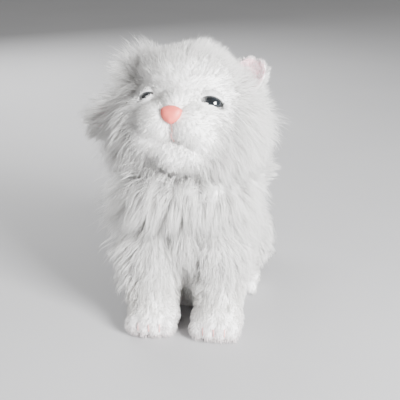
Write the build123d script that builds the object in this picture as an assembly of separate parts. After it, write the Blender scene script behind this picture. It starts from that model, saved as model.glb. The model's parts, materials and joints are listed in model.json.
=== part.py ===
from build123d import *
import math
import os

# Interactive plush kitten. Millimetres, +Z up, the kitten faces -Y, its left side is +X.
# The origin is the centre of the flat seat under the rump.

# ---- driving dimensions ----
gap = 0.4                      # clearance between neighbouring pieces
wall = 2.0                     # moulded wall thickness
screw_r = 1.3
screw_head_r = 2.6

# body plush: a rounded box with a domed chest
torso_half_x = 40.0
torso_front = -90.0
torso_back = 44.0
torso_top = 112.0
torso_round = 28.0
skin = 6.0                     # plush skin with its pile
chest_centre = (0, -84, 92)
chest_size = (44, 38, 30)

# body casing
case_half_x = 26.0
case_front = -75.0
case_back = 12.0
case_bottom = 18.0
case_top = 92.0
case_round = 4.0
collar_half_x = 22.0
collar_front = -108.0
collar_back = -58.0
collar_bottom = 87.0
collar_top = 106.0
collar_round = 6.0

# neck and head: the head pivots about the head centre
head_centre = (0, -84, 166)
head_yaw = -6.0                # rest turn towards the kitten's right
head_pitch = 28.0              # rest lift of the face
skull_centre = (0, 0, 1)
skull_r = 48.0
muzzle_centre = (0, -36, -15)
muzzle_half_x = 11.0
muzzle_r = 19.0
head_shell_centre = (0, -2, 0)
head_shell_r = 36.0
head_padding = 3.4             # room between the hard shell and the head plush
head_room = 53.5               # ball that the head turns in
neck_bore_r = 16.0
post_r = 8.0
nod_pin_r = 2.0
shell_split = -6.0             # local y of the joint between the head shells

# face
eye_centre = (22.5, -31, 1)
eye_r = 8.0
lid_inner_r = 8.4
lid_outer_r = 9.4
lid_room_r = 10.2
lid_shaft_r = 1.2
nose_centre = (0, -55, -13)
jaw_hinge = (-14.0, -24.0)     # local y, z
jaw_pin_r = 1.2
chin_centre = (0, -31, -41)
chin_size = (15, 13, 8)

# front legs
shoulder_y = -102.0
shoulder_z = 62.0
leg_x = 25.0
leg_r = 21.0
paw_y = -113.0
paw_size = (20, 24, 15)
axle_r = 2.0

# hind legs
thigh_centre = (40, -8, 36)
thigh_size = (12, 30, 32)
foot_centre = (36, -26, 8)
foot_size = (12, 24, 12)

# tail
tail_pivot = (0, 22, 42)
tail_base = (2, 60, 40)
tail_tip = (34, 68, 76)
tail_r = 12.0

# eyelids: the quarter shell each lid covers, in degrees up from the front
lid_edge_front = 28.0
lid_edge_back = 128.0
lid_hub_r = 2.6
lid_hub_end = 0.7

# rooms cut in the plush for moving pieces
side_reach = 60.0              # past both sides of the body
front_reach = -160.0           # past the front of the paws
shoulder_gap = 1.8
leg_room_back = -79.0
stem_opening_r = 9.0
neck_opening_r = 22.0
door_margin = 3.0

# casing details
button_y = -20.0
button_r = 6.0
button_flange_r = 7.4
button_travel_room = 10.0      # radius of the clear space round the back button
post_cover_r = 4.0
screw_spots = [(-70, 80), (4, 80), (4, 26), (-97, 97)]     # y, z
seam = 0.1
bracket_half_x = 3.2
bracket_half = 5.0
tail_lug_half_x = 6.0
tail_lug_z = (4.0, 8.0)        # inner and outer height from the pivot

# power
cell_r = 5.25
cell_length = 44.5
cell_pitch = 11.5
cell_count = 3
battery_y = (-64.0, -14.0)
battery_floor = 21.2
battery_height = 14.0
door_thick = 1.8
door_half_x = 18.0

battery_wall = 1.2
cell_nub_r = 1.9
cell_nub = 1.0
contact_half = 4.0
contact_thick = 0.4
switch_y = (-71.8, -65.4)
slider_y = (-70.6, -67.0)
slider_x = (-5.8, -0.2)
door_screw_spot = (0, -19.5)

# circuit board and loudspeaker
board_x = (-23.4, -21.8)
board_y = (-62.0, -6.0)
board_z = (40.0, 78.0)
board_hole_inset = 4.0
speaker_y = -52.0
speaker_z = 66.0
speaker_x = (15.5, 19.0, 23.6)  # back of the magnet, back of the basket, rim
magnet_r = 6.5
basket_r = 12.5
sound_hole_rings = ((0, 1), (4, 6), (8, 12))               # radius, count

# gear drive, all shafts along X
gear_module = 1.0
pinion_teeth = 12
drive_teeth = 36
gear_y = -30.0
gear_z = 66.0
gear_width = 5.0
gear_x = 8.5
gear_bore_r = 1.55
motor_r = 8.0
motor_length = 18.0
motor_shaft_r = 1.0
mesh_slack = 0.25              # added to the centre distance
mesh_angle = 60.0              # the motor shaft is below and behind the drive gear
plate_x = (4.6, 12.4)
plate_half = 0.8

# inside the head, local to the pivot
jaw_slot_box = (-9, 9, -44, -12, -60, -18)
jaw_room_box = (-10, 10, -44, -12, -60, -18)
neck_slot_half_x = 13.0
boss_r = 5.0
boss_x = (8.0, 36.0)
head_button_y = 6.0
head_button_r = 5.6
head_button_flange_r = 7.0
head_button_top = 35.6
jaw_lug_x = (9.4, 12.4)
jaw_lug_half_y = 3.5
nose_r = 7.2
nose_thick = 3.2
chin_plate = (-36.0, -26.0)    # front and back of the plate in the chin
chin_plate_z = (-45.5, -43.0)
chin_rod_end = (0, -29, -44)


def ellipsoid(centre, size, grow=0.0):
    """Ellipsoid with its half-lengths in size, each made larger by grow."""
    halves = tuple(s + grow for s in size)
    return Pos(*centre) * scale(Sphere(1), by=halves)


def ball(centre, radius):
    return Pos(*centre) * Sphere(radius)


def capsule(centre, half_x, radius):
    """Cylinder along X with round ends."""
    x, y, z = centre
    shape = rod((x - half_x, y, z), (x + half_x, y, z), radius)
    return shape + ball((x - half_x, y, z), radius) + ball((x + half_x, y, z), radius)


def box(x0, x1, y0, y1, z0, z1):
    """Box between two corners."""
    middle = Pos((x0 + x1) / 2, (y0 + y1) / 2, (z0 + z1) / 2)
    return middle * Box(x1 - x0, y1 - y0, z1 - z0)


def rounded_box(x0, x1, y0, y1, z0, z1, radius):
    shape = Box(x1 - x0, y1 - y0, z1 - z0)
    shape = fillet(shape.edges(), radius)
    return Pos((x0 + x1) / 2, (y0 + y1) / 2, (z0 + z1) / 2) * shape


def rod(start, end, radius):
    """Cylinder from start to end."""
    a = Vector(*start)
    b = Vector(*end)
    length = (b - a).length
    plane = Plane(origin=a, z_dir=b - a)
    return plane * Cylinder(radius, length, align=(Align.CENTER, Align.CENTER, Align.MIN))


def mirror_x(shape):
    return mirror(shape, about=Plane.YZ)


def group(shapes):
    """Separate solids kept in one node."""
    solids = []
    for shape in shapes:
        solids.extend(shape.solids())
    return Compound(children=solids)


def gear(teeth, width, bore_r, turn=0.0):
    """Spur gear about X, centred on the origin, with straight-flanked teeth and backlash."""
    pitch_r = gear_module * teeth / 2
    tip_r = pitch_r + 0.75 * gear_module
    root_r = pitch_r - 1.15 * gear_module
    pitch_arc = math.pi * gear_module
    half_root = 0.27 * pitch_arc
    half_tip = 0.10 * pitch_arc
    blank = Cylinder(root_r, width)
    tooth_outline = Polyline(
        (root_r - 0.6, -half_root),
        (root_r, -half_root),
        (tip_r, -half_tip),
        (tip_r, half_tip),
        (root_r, half_root),
        (root_r - 0.6, half_root),
        close=True,
    )
    tooth = Pos(0, 0, -width / 2) * extrude(make_face(tooth_outline), width)
    teeth_set = [Rot(0, 0, turn + 360 * i / teeth) * tooth for i in range(teeth)]
    shape = blank + teeth_set
    shape = shape - Cylinder(bore_r, width + 2)
    return Rot(0, 90, 0) * shape


def save(shape, node):
    export_step(shape, f"parts/{node}.step")


os.makedirs("parts", exist_ok=True)

# ---- shared spaces ----
head_place = Pos(*head_centre) * Rot(0, 0, head_yaw) * Rot(-head_pitch, 0, 0)
shoulder_room = rod((-side_reach, shoulder_y, shoulder_z), (side_reach, shoulder_y, shoulder_z),
                    leg_r + shoulder_gap)
leg_room = box(-side_reach, side_reach, front_reach, leg_room_back, -5, shoulder_z)
head_ball = Pos(*head_centre) * Sphere(head_room)

case_outer = rounded_box(-case_half_x, case_half_x, case_front, case_back,
                         case_bottom, case_top, case_round)
case_outer += rounded_box(-collar_half_x, collar_half_x, collar_front, collar_back,
                          collar_bottom, collar_top, collar_round)
case_room = rounded_box(-case_half_x - gap, case_half_x + gap, case_front - gap, case_back + gap,
                        case_bottom - gap, case_top + gap, case_round)
case_room += rounded_box(-collar_half_x - gap, collar_half_x + gap, collar_front - gap,
                         collar_back + gap, collar_bottom - gap, collar_top + gap, collar_round)

belly_opening = box(-door_half_x - door_margin, door_half_x + door_margin, case_front + 1, battery_y[1] + 1,
                    -10, case_bottom + 12)
tail_opening = rod((0, case_back - 5, tail_pivot[2]), (0, torso_back + 20, tail_pivot[2]),
                   stem_opening_r)
neck_opening = rod((0, head_centre[1], 95), (0, head_centre[1], 140), neck_opening_r)

# ---- body plush and wadding ----
outer_skin = rounded_box(-torso_half_x, torso_half_x, torso_front, torso_back, 0, torso_top, torso_round)
outer_skin += ellipsoid(chest_centre, chest_size)
inner_skin = rounded_box(-torso_half_x + skin, torso_half_x - skin, case_front - 1, torso_back - skin,
                         skin, torso_top - skin, torso_round - skin)
bracket_room = box(-bracket_half_x - 0.6, bracket_half_x + 0.6, shoulder_y - bracket_half - 1, case_front + 4,
                   shoulder_z - bracket_half - 1, shoulder_z + bracket_half + 1)
body_cuts = [shoulder_room, leg_room, head_ball, belly_opening, tail_opening, neck_opening, bracket_room]
body_plush = outer_skin - inner_skin - case_room
for cut in body_cuts:
    body_plush = body_plush - cut

wadding = rounded_box(-torso_half_x + skin + gap, torso_half_x - skin - gap, case_front - 0.4,
                      torso_back - skin - gap, skin + gap, torso_top - skin - gap,
                      torso_round - skin - gap)
tail_bracket_room = box(-9, 9, case_back - 2, tail_pivot[1] + 8, tail_pivot[2] - 12, tail_pivot[2] + 12)
back_button_room = rod((0, button_y, case_top - 4), (0, button_y, case_top + 8), button_travel_room)
wadding = wadding - case_room - tail_bracket_room - back_button_room
for cut in body_cuts:
    wadding = wadding - cut
wadding = wadding.solids().sort_by(SortBy.VOLUME)[-1]

save(body_plush, "body_plush")
save(wadding, "body_wadding")

# ---- body casing halves ----
case_inner = rounded_box(-case_half_x + wall, case_half_x - wall, case_front + wall, case_back - wall,
                         case_bottom + wall, case_top - wall, case_round - wall)
case_inner += rounded_box(-collar_half_x + wall, collar_half_x - wall, collar_front + wall,
                          collar_back - wall, collar_bottom - 6, collar_top - wall, collar_round - wall)
casing = case_outer - case_inner
neck_bore = rod((0, head_centre[1], collar_top - 6), (0, head_centre[1], collar_top + 6), neck_bore_r)
door_hole = box(-door_half_x - gap, door_half_x + gap, battery_y[0] + 1 - gap, battery_y[1] - 1 + gap,
                case_bottom - 5, case_bottom + 4)
switch_slot = box(-7, 7, slider_y[0] - 0.6, slider_y[1] + 0.6, case_bottom - 5, case_bottom + 4)
button_hole = rod((0, button_y, case_top - 6), (0, button_y, case_top + 6), button_r + gap)
speaker_holes = []
for ring_r, count in sound_hole_rings:
    for i in range(count):
        angle = 2 * math.pi * i / count
        y = speaker_y + ring_r * math.cos(angle)
        z = speaker_z + ring_r * math.sin(angle)
        speaker_holes.append(rod((case_half_x - 6, y, z), (case_half_x + 6, y, z), 1.0))
stem_slot = box(-4, 4, case_back - 5, case_back + 5, tail_pivot[2] - 3, tail_pivot[2] + 3)
shoulder_bore = rod((-30, shoulder_y, shoulder_z), (30, shoulder_y, shoulder_z), axle_r + 0.05)

# brackets that carry the shoulder axle and the tail pin
shoulder_bracket = box(-bracket_half_x, bracket_half_x, shoulder_y - bracket_half, case_front + 1,
                       shoulder_z - bracket_half, shoulder_z + bracket_half)
tail_lugs = box(-tail_lug_half_x, tail_lug_half_x, case_back - 1, tail_pivot[1] + 5,
                tail_pivot[2] + tail_lug_z[0], tail_pivot[2] + tail_lug_z[1])
tail_lugs += box(-tail_lug_half_x, tail_lug_half_x, case_back - 1, tail_pivot[1] + 5,
                 tail_pivot[2] - tail_lug_z[1], tail_pivot[2] - tail_lug_z[0])
tail_pin_hole = rod((tail_pivot[0], tail_pivot[1], tail_pivot[2] - 12),
                    (tail_pivot[0], tail_pivot[1], tail_pivot[2] + 12), 1.6)

# screw posts that join the halves across x = 0
posts = [rod((-case_half_x + 1, y, z), (case_half_x - 1, y, z), post_cover_r) for y, z in screw_spots]
posts = [post & case_outer for post in posts]
casing = casing + shoulder_bracket + tail_lugs + posts
casing = casing - [neck_bore, door_hole, switch_slot, button_hole, shoulder_bore, tail_pin_hole]
casing = casing - speaker_holes
for y, z in screw_spots:
    casing = casing - rod((-14, y, z), (14, y, z), screw_r + 0.1)
    casing = casing - rod((-60, y, z), (-14, y, z), screw_head_r + 0.4)
save(casing & box(seam, 80, -200, 100, 0, 200), "body_casing_left")
save(casing & box(-80, -seam, -200, 100, 0, 200), "body_casing_right")


def screw(tip, head, head_length=2.0):
    """Round-headed screw from its tip to its head."""
    a = Vector(*tip)
    b = Vector(*head)
    direction = (b - a).normalized()
    top = b + direction * head_length
    shape = rod(tip, head, screw_r) + rod(head, tuple(top), screw_head_r)
    slot_cut = rod(tuple(b + direction * (head_length - 0.8)), tuple(top), 0.9)
    return shape - slot_cut


casing_screws = [screw((12, y, z), (-14.1, y, z)) for y, z in screw_spots]
save(group(casing_screws), "casing_screws")

# ---- battery box, cells, contacts and door ----
battery_half_x = cell_pitch * cell_count / 2 + battery_wall
box_outer = box(-battery_half_x, battery_half_x, battery_y[0], battery_y[1],
                battery_floor + gap, battery_floor + gap + battery_height)
box_inner = box(-battery_half_x + battery_wall, battery_half_x - battery_wall,
                battery_y[0] + battery_wall, battery_y[1] - battery_wall,
                battery_floor - 2, battery_floor + gap + battery_height - 1.4)
save(box_outer - box_inner, "battery_box")

cell_z = battery_floor + gap + 5.9
cell_y0 = (battery_y[0] + battery_y[1]) / 2 - cell_length / 2
cells = []
for i in range(cell_count):
    x = (i - (cell_count - 1) / 2) * cell_pitch
    can_end = cell_y0 + cell_length - cell_nub
    can = rod((x, cell_y0, cell_z), (x, can_end, cell_z), cell_r)
    nub = rod((x, can_end - 0.2, cell_z), (x, cell_y0 + cell_length, cell_z), cell_nub_r)
    cells.append(can + nub)
save(group(cells), "battery_cells")

contacts = []
for y in (battery_y[0] + 1.3, battery_y[1] - 1.7):
    for i in range(cell_count):
        x = (i - (cell_count - 1) / 2) * cell_pitch
        contacts.append(box(x - contact_half, x + contact_half, y, y + contact_thick,
                            cell_z - contact_half - 0.5, cell_z + contact_half + 0.5))
save(group(contacts), "battery_contacts")

door_z = case_bottom + 0.1
door = box(-door_half_x, door_half_x, battery_y[0] + 1, battery_y[1] - 1, door_z, door_z + door_thick)
grip = [box(-8, 8, y, y + 1.2, door_z - 0.6, door_z + 0.1) for y in (-30, -27, -24)]
door_hole_small = rod((*door_screw_spot, door_z - 1), (*door_screw_spot, door_z + 4), screw_r + 0.1)
door = door + grip - door_hole_small
save(door, "battery_door")
door_screw = screw((*door_screw_spot, door_z + door_thick + 0.2), (*door_screw_spot, door_z - 0.1), 1.4)
save(door_screw, "battery_door_screw")

# ---- power switch ----
switch_floor = case_bottom + wall + 0.4
switch_body = box(-9, 9, *switch_y, switch_floor, switch_floor + 6)
switch_body = switch_body - box(-6.6, 6.6, *slider_y, switch_floor - 1, switch_floor + 3.6)
save(switch_body, "power_switch")
slider = box(slider_x[0] + 0.3, slider_x[1] - 0.3, slider_y[0] + 0.4, slider_y[1] - 0.4,
             case_bottom - 1.5, switch_floor + 3.2)
slider += box(*slider_x, *slider_y, case_bottom - 2.6, case_bottom - 1.4)
save(slider, "power_slider")

# ---- circuit board and loudspeaker ----
board = box(*board_x, *board_y, *board_z)
board_hole_y = (board_y[0] + board_hole_inset, board_y[1] - board_hole_inset)
board_hole_z = (board_z[0] + board_hole_inset, board_z[1] - board_hole_inset)
board_holes = [rod((board_x[0] - 3, y, z), (board_x[1] + 3, y, z), 1.4)
               for y in board_hole_y for z in board_hole_z]
save(board - board_holes, "circuit_board")
face_x = board_x[1]
components = [
    box(face_x, face_x + 2.2, -44, -34, 54, 64),
    box(face_x, face_x + 1.6, -26, -20, 58, 66),
    box(face_x, face_x + 4.0, -56, -49, 50, 70),
    rod((face_x, -20, 50), (face_x + 6, -20, 50), 2.5),
    rod((face_x, -28, 50), (face_x + 6, -28, 50), 2.5),
]
save(group(components), "board_components")

magnet_x, basket_x, rim_x = speaker_x
speaker = rod((magnet_x, speaker_y, speaker_z), (basket_x, speaker_y, speaker_z), magnet_r)
speaker += rod((basket_x, speaker_y, speaker_z), (rim_x, speaker_y, speaker_z), basket_r)
cone_space = Pos(22.4, speaker_y, speaker_z) * Rot(0, 90, 0) * Cone(4.0, 11.0, 2.8)
save(speaker - cone_space, "loudspeaker")

# ---- gear drive ----
pinion_r = gear_module * pinion_teeth / 2
drive_r = gear_module * drive_teeth / 2
centre_distance = pinion_r + drive_r + mesh_slack
pinion_y = gear_y + centre_distance * math.cos(math.radians(mesh_angle))
pinion_z = gear_z - centre_distance * math.sin(math.radians(mesh_angle))

drive_gear = Pos(gear_x, gear_y, gear_z) * gear(drive_teeth, gear_width, gear_bore_r)
save(drive_gear, "drive_gear")
pinion = gear(pinion_teeth, gear_width, motor_shaft_r, turn=180 / pinion_teeth)
pinion = Pos(gear_x, pinion_y, pinion_z) * pinion
save(pinion, "motor_pinion")
save(rod((2, gear_y, gear_z), (16, gear_y, gear_z), 1.5), "gear_axle")

frame_plates = []
for x in plate_x:
    plate = box(x - plate_half, x + plate_half, gear_y - 9, gear_y + 26, pinion_z - 9, gear_z + 7)
    frame_plates.append(plate)
spacers = [rod((plate_x[0], y, z), (plate_x[1], y, z), 1.8)
           for y, z in ((gear_y - 6, pinion_z - 6), (gear_y + 23, pinion_z - 6), (gear_y + 23, gear_z + 4))]
frame = frame_plates[0] + frame_plates[1] + spacers
frame = frame - rod((0, gear_y, gear_z), (20, gear_y, gear_z), gear_bore_r)
frame = frame - rod((0, pinion_y, pinion_z), (20, pinion_y, pinion_z), 2.0)
save(frame, "gearbox_frame")

motor_end = plate_x[0] - 0.9
motor = rod((motor_end - motor_length, pinion_y, pinion_z), (motor_end, pinion_y, pinion_z), motor_r)
motor = motor + rod((motor_end - motor_length - 1.5, pinion_y, pinion_z),
                    (motor_end - motor_length, pinion_y, pinion_z), 3.0)
motor = motor - rod((motor_end - 12, pinion_y, pinion_z), (motor_end + 2, pinion_y, pinion_z),
                    motor_shaft_r + 0.05)
save(motor, "drive_motor")
motor_shaft = rod((motor_end - 11, pinion_y, pinion_z), (plate_x[1] - 1, pinion_y, pinion_z), motor_shaft_r)
save(motor_shaft, "motor_shaft")

# ---- back touch button ----
back_button = rod((0, button_y, case_top - wall - 1.4), (0, button_y, case_top + 3), button_r)
back_button += rod((0, button_y, case_top - wall - 2.6), (0, button_y, case_top - wall - 1.3),
                   button_flange_r)
save(back_button, "back_touch_button")
save(box(-5, 3.2, button_y - 5, button_y + 5, case_top - 12, case_top - 6.4), "back_touch_switch")

# ---- front legs ----
save(rod((-30, shoulder_y, shoulder_z), (30, shoulder_y, shoulder_z), axle_r), "shoulder_axle")
ankle = (leg_x, -110, 16)
leg_frame = rod((4.8, shoulder_y, shoulder_z), (33, shoulder_y, shoulder_z), 6.0)
leg_frame += rod((leg_x, shoulder_y, shoulder_z), ankle, 4.0)
leg_frame += box(leg_x - 8, leg_x + 8, -125, -99, 12, 17)
leg_frame -= rod((0, shoulder_y, shoulder_z), (31, shoulder_y, shoulder_z), axle_r + 0.06)
leg_plush = rod((4.6, shoulder_y, shoulder_z), (leg_x + 20.4, shoulder_y, shoulder_z), leg_r)
leg_plush = fillet(leg_plush.edges(), 7.0)
leg_plush += rod((leg_x, shoulder_y, shoulder_z), ankle, 19.0)
leg_plush += ellipsoid((leg_x, paw_y, paw_size[2] - 2), paw_size)
leg_plush &= box(0, 80, -200, 0, 0, 120)
leg_plush -= rod((-5, shoulder_y, shoulder_z), (33.4, shoulder_y, shoulder_z), 6.4)
leg_plush -= rod((leg_x, shoulder_y, shoulder_z), ankle, 4.4)
leg_plush -= box(leg_x - 8.4, leg_x + 8.4, -125.4, -98.6, 11.6, 17.4)
save(leg_frame, "left_leg_frame")
save(mirror_x(leg_frame), "right_leg_frame")
save(leg_plush, "left_front_leg_plush")
save(mirror_x(leg_plush), "right_front_leg_plush")

# ---- hind legs ----
hind_leg = ellipsoid(thigh_centre, thigh_size) + ellipsoid(foot_centre, foot_size)
hind_leg &= box(0, 80, -100, 60, 0, 120)
hind_leg -= rounded_box(-torso_half_x - 0.5, torso_half_x + 0.5, torso_front, torso_back + 0.5,
                        -0.5, torso_top + 0.5, torso_round)
hind_leg = hind_leg.solids().sort_by(SortBy.VOLUME)[-1]
save(hind_leg, "left_hind_leg_plush")
save(mirror_x(hind_leg), "right_hind_leg_plush")

# ---- tail ----
tail_stem = rod((0, tail_pivot[1], tail_pivot[2] - 3.6), (0, tail_pivot[1], tail_pivot[2] + 3.6), 4.5)
tail_stem += rod(tail_pivot, tail_base, 2.6)
tail_middle = tuple((a + b) / 2 for a, b in zip(tail_base, tail_tip))
tail_stem += rod(tail_base, tail_middle, 2.0) + Pos(*tail_base) * Sphere(2.6)
tail_stem -= rod((0, tail_pivot[1], tail_pivot[2] - 6), (0, tail_pivot[1], tail_pivot[2] + 6), 1.56)
tail_plush = rod(tail_base, tail_tip, tail_r)
tail_plush += Pos(*tail_base) * Sphere(tail_r) + Pos(*tail_tip) * Sphere(tail_r)
tail_plush -= rod(tail_pivot, tail_base, 3.0)
tail_plush -= Pos(*tail_base) * Sphere(3.0)
tail_plush -= rod(tail_base, tuple(m + 0.5 * d for m, d in zip(tail_middle, (0.6, 0.1, 0.7))), 2.4)
tail_pin = rod((0, tail_pivot[1], tail_pivot[2] - 9), (0, tail_pivot[1], tail_pivot[2] + 9), 1.5)
save(tail_stem, "tail_stem")
save(tail_plush, "tail_plush")
save(tail_pin, "tail_pin")

# ---- neck turntable and post ----
neck_x, neck_y, nod_z = head_centre
turntable = rod((0, neck_y, collar_top - 4.1), (0, neck_y, collar_top - 2.4), 17.2)
turntable += rod((0, neck_y, collar_top - 2.4), (0, neck_y, collar_top + 0.4), neck_bore_r - 0.4)
turntable += rod((0, neck_y, collar_top + 0.4), (0, neck_y, collar_top + 2.2), 19.0)
turntable += rod((0, neck_y, collar_top + 2.2), (0, neck_y, nod_z - 3), post_r)
yoke_eye = Pos(*head_centre) * Rot(0, 0, head_yaw) * rod((-6, 0, 0), (6, 0, 0), 6.5)
turntable += yoke_eye
turntable -= rod((0, neck_y, collar_top - 6), (0, neck_y, nod_z - 14), 5.0)
turntable -= Pos(*head_centre) * Rot(0, 0, head_yaw) * rod((-9, 0, 0), (9, 0, 0), nod_pin_r + 0.05)
save(turntable, "neck_turntable")

# ---- head, modelled level about its pivot and then placed ----
shell_outer = ball(head_shell_centre, head_shell_r)
shell_inner = ball(head_shell_centre, head_shell_r - wall)
neck_slot = box(-neck_slot_half_x, neck_slot_half_x, shell_split, 48, -60, -10)
jaw_slot = box(*jaw_slot_box)
eye_spots = [(side * eye_centre[0], eye_centre[1], eye_centre[2]) for side in (1, -1)]
boss_inner, boss_outer = boss_x
bosses = rod((boss_inner, 0, 0), (boss_outer, 0, 0), boss_r)
bosses += rod((-boss_inner, 0, 0), (-boss_outer, 0, 0), boss_r)
bosses = bosses & ball(head_shell_centre, head_shell_r - wall / 2)
shell = shell_outer - shell_inner
front_half = box(-60, 60, -60, shell_split - 0.1, -60, 60)
rear_half = box(-60, 60, shell_split + 0.1, 60, -60, 60)
rear_shell = (shell & rear_half) + (bosses & rear_half) - neck_slot
rear_shell = rear_shell - rod((-24.5, 0, 0), (24.5, 0, 0), nod_pin_r + 0.1)
rear_shell = rear_shell - Pos(0, head_button_y, 34) * Cylinder(head_button_r + gap, 24)
front_shell = (shell & front_half) - jaw_slot
for x, y, z in eye_spots:
    front_shell = front_shell - rod((x / 2, y / 2, z), (x * 1.5, y * 1.5, z), lid_room_r)
jaw_y, jaw_z = jaw_hinge
lug_inner, lug_outer = jaw_lug_x
jaw_bracket = box(-lug_outer, lug_outer, jaw_y - jaw_lug_half_y, jaw_y + jaw_lug_half_y, jaw_z + 4, jaw_z + 6)
for lug_x in (-lug_outer, lug_inner):
    jaw_bracket += box(lug_x, lug_x + lug_outer - lug_inner, jaw_y - jaw_lug_half_y, jaw_y + jaw_lug_half_y,
                       jaw_z - 3, jaw_z + 4.5)
jaw_bore = rod((-20, jaw_y, jaw_z), (20, jaw_y, jaw_z), jaw_pin_r + 0.1)
jaw_bracket = jaw_bracket - jaw_bore
front_shell = front_shell.solids().sort_by(SortBy.VOLUME)[-1]
rear_shell = rear_shell.solids().sort_by(SortBy.VOLUME)[-1]

eyes = []
for spot in eye_spots:
    eyes.append(Pos(*spot) * Sphere(eye_r))

eye_carrier = box(-26, 26, eye_centre[1] + 8.2, eye_centre[1] + 10.2, -9, -1)
for side in (1, -1):
    inner = side * 8
    outer = side * 10
    eye_carrier += box(min(inner, outer), max(inner, outer), -33, eye_centre[1] + 9, -4, 3.6)
eye_carrier -= rod((-12, eye_centre[1], eye_centre[2]), (12, eye_centre[1], eye_centre[2]), lid_shaft_r + 0.05)
eye_carrier &= ball(head_shell_centre, head_shell_r - wall - 0.3)


def half_space(angle):
    """Everything on the upper side of a plane through the X axis, tilted up from the front by angle."""
    block = Pos(0, 0, 30) * Box(60, 60, 60)
    return Rot(-angle, 0, 0) * block


lids = []
for spot in eye_spots:
    side = 1 if spot[0] > 0 else -1
    lid = Sphere(lid_outer_r) - Sphere(lid_inner_r)
    lid = lid & half_space(lid_edge_front)
    lid = lid & half_space(lid_edge_back - 180)
    lid = Pos(*spot) * lid
    hub_outer = side * (eye_centre[0] - lid_inner_r)
    hub_inner = side * (eye_centre[0] - lid_outer_r - lid_hub_end)
    lid += rod((hub_inner, spot[1], spot[2]), (hub_outer - side * 0.1, spot[1], spot[2]), lid_hub_r)
    lids.append(lid)
shaft_end = eye_centre[0] - lid_outer_r - lid_hub_end
lid_shaft = rod((-shaft_end, eye_centre[1], eye_centre[2]), (shaft_end, eye_centre[1], eye_centre[2]),
                lid_shaft_r)

head_plush = ball(skull_centre, skull_r) + capsule(muzzle_centre, muzzle_half_x, muzzle_r)
for spot in eye_spots:
    look = Vector(spot[0], spot[1], 0).normalized()
    head_plush = head_plush - Pos(*spot) * Sphere(lid_room_r)
    head_plush = head_plush - rod(spot, tuple(Vector(*spot) + look * 30), lid_room_r)
head_plush = head_plush - neck_slot - box(*jaw_room_box)
head_plush = head_plush - ball(head_shell_centre, head_shell_r + head_padding)

nose_x, nose_y, nose_z = nose_centre
nose_back = nose_y - 0.2
nose = rod((nose_x, nose_back - nose_thick, nose_z), (nose_x, nose_back, nose_z), nose_r)
nose = fillet(nose.edges().group_by(Axis.Y)[0], 2.0)

skull_grown = ball(skull_centre, skull_r + 0.5)


def ear(centre, lean, half_length):
    """Rounded ear flap, its long way tilted by lean degrees from upright towards +X."""
    flap = Pos(*centre) * Rot(0, lean, 0) * scale(Sphere(1), by=(15, 4, half_length))
    return (flap - skull_grown).solids().sort_by(SortBy.VOLUME)[-1]


left_ear = ear((42, 6, 33), 48, 22)
right_ear = ear((-60, 8, 2), -98, 24)

chin_block = ellipsoid(chin_centre, chin_size) & box(-40, 40, -60, -20, -60, 0)
chin_block = chin_block - ball(skull_centre, skull_r + 1.2)
chin_block = chin_block - capsule(muzzle_centre, muzzle_half_x, muzzle_r + 1.2)
chin_block = chin_block.solids().sort_by(SortBy.VOLUME)[-1]
jaw_frame = rod((-7.5, jaw_y, jaw_z), (7.5, jaw_y, jaw_z), 3.4)
jaw_frame += rod((0, jaw_y, jaw_z), chin_rod_end, 2.2)
jaw_frame += box(-6, 6, *chin_plate, *chin_plate_z)
jaw_frame -= rod((-20, jaw_y, jaw_z), (20, jaw_y, jaw_z), jaw_pin_r + 0.05)
chin_block -= rod((0, jaw_y, jaw_z), chin_rod_end, 2.6)
chin_block -= box(-6 - gap, 6 + gap, chin_plate[0] - gap, chin_plate[1] + gap,
                  chin_plate_z[0] - gap, chin_plate_z[1] + gap)

head_button = rod((0, head_button_y, 29.5), (0, head_button_y, head_button_top), head_button_r)
head_button += rod((0, head_button_y, 28.2), (0, head_button_y, 29.6), head_button_flange_r)
head_pieces = {
    "head_front_shell": front_shell,
    "head_rear_shell": rear_shell,
    "nod_pin": rod((-24, 0, 0), (24, 0, 0), nod_pin_r),
    "left_eye": eyes[0],
    "right_eye": eyes[1],
    "eye_carrier": eye_carrier,
    "left_eyelid": lids[0],
    "right_eyelid": lids[1],
    "eyelid_shaft": lid_shaft,
    "head_plush": head_plush,
    "nose": nose,
    "left_ear": left_ear,
    "right_ear": right_ear,
    "jaw_frame": jaw_frame,
    "jaw_bracket": jaw_bracket,
    "jaw_pin": rod((-12, jaw_y, jaw_z), (12, jaw_y, jaw_z), jaw_pin_r),
    "chin_plush": chin_block,
    "head_motor": rod((-11, 6, 15.5), (9, 6, 15.5), 5.5),
    "head_touch_button": head_button,
    "head_touch_switch": box(-5, 5, 1, 11, 21.6, 26.6),
}
for node, shape in head_pieces.items():
    save(head_place * shape, node)
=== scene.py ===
import json
import math

import bmesh
import bpy
import numpy as np
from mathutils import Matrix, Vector
from mathutils.bvhtree import BVHTree

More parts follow.
